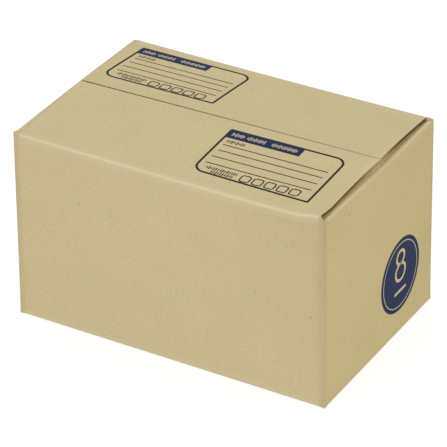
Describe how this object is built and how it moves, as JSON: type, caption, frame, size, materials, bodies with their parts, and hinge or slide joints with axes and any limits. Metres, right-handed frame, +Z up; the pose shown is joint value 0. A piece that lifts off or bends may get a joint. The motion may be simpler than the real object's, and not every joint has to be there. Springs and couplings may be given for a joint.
{
  "type": "shipping box",
  "caption": "Closed corrugated shipping box folded from one slotted blank; its long top flaps meet on the centre line, lift open and fold right back down the sides.",
  "frame": {"origin": "middle of the base, on the surface that the box stands on", "axes": "+X along the length, towards the end panel with the printed size mark; -Y out of the front long panel; +Z up"},
  "size_m": [0.17, 0.11, 0.1058],
  "materials": {
    "board": "matt"
  },
  "bodies": {
    "carton": {"carton_body": "board"},
    "front_flap": {"front_top_flap": "board"},
    "back_flap": {"back_top_flap": "board"}
  },
  "joints": [
    {"name": "front_flap_crease", "type": "hinge", "parent": "carton", "child": "front_flap", "pos_m": [0, -0.055, 0.102], "axis": [1, 0, 0], "range_deg": [-4, 256]},
    {"name": "back_flap_crease", "type": "hinge", "parent": "carton", "child": "back_flap", "pos_m": [0, 0.055, 0.102], "axis": [-1, 0, 0], "range_deg": [-4, 256]}
  ]
}
